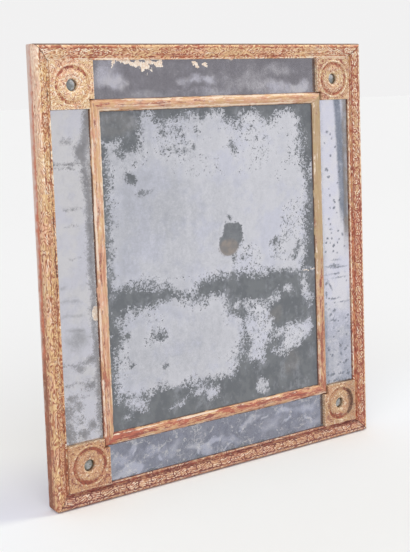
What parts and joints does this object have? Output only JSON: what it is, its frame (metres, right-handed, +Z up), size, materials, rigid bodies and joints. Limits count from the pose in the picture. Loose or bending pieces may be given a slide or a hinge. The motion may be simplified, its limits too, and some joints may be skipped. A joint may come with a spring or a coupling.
{
  "type": "wall mirror",
  "caption": "Rectangular wall mirror with gilded mitred mouldings, plates of aged glass round a centre plate, corner blocks with turned rosettes and a hanging ring behind.",
  "frame": {"origin": "middle of the bottom edge of the ground frame, halfway through its thickness", "axes": "+X to the viewer's right, +Z up, and the mirror faces -Y"},
  "size_m": [0.68, 0.0395, 0.755],
  "materials": {
    "gilt_wood": "worn gilding over red-brown ground",
    "mirror": "old, patchy silvering",
    "pine": "planed and darkened with age",
    "hardwood": "whittled",
    "iron": "forged, dark"
  },
  "bodies": {
    "mirror_frame": {"left_stile": "pine", "right_stile": "pine", "bottom_rail": "pine", "top_rail": "pine", "backboard_left": "pine", "backboard_middle": "pine", "backboard_right": "pine", "outer_moulding_left": "gilt_wood", "inner_moulding_left": "gilt_wood", "border_mirror_left": "mirror", "outer_moulding_right": "gilt_wood", "inner_moulding_right": "gilt_wood", "border_mirror_right": "mirror", "outer_moulding_bottom": "gilt_wood", "inner_moulding_bottom": "gilt_wood", "border_mirror_bottom": "mirror", "outer_moulding_top": "gilt_wood", "inner_moulding_top": "gilt_wood", "border_mirror_top": "mirror", "corner_block_bottom_left": "gilt_wood", "corner_mirror_bottom_left": "mirror", "corner_block_top_left": "gilt_wood", "corner_mirror_top_left": "mirror", "corner_block_bottom_right": "gilt_wood", "corner_mirror_bottom_right": "mirror", "corner_block_top_right": "gilt_wood", "corner_mirror_top_right": "mirror", "centre_mirror": "mirror", "corner_pegs": "hardwood", "corner_block_nails": "iron", "moulding_brads": "iron", "backboard_nails": "iron", "hanger_strap": "iron", "hanger_screws": "iron"},
    "ring": {"hanger_ring": "iron"}
  },
  "joints": [
    {"name": "ring_swing", "type": "hinge", "parent": "mirror_frame", "child": "ring", "pos_m": [0, 0.0119, 0.715], "axis": [1, 0, 0], "range_deg": [0, 180]}
  ]
}
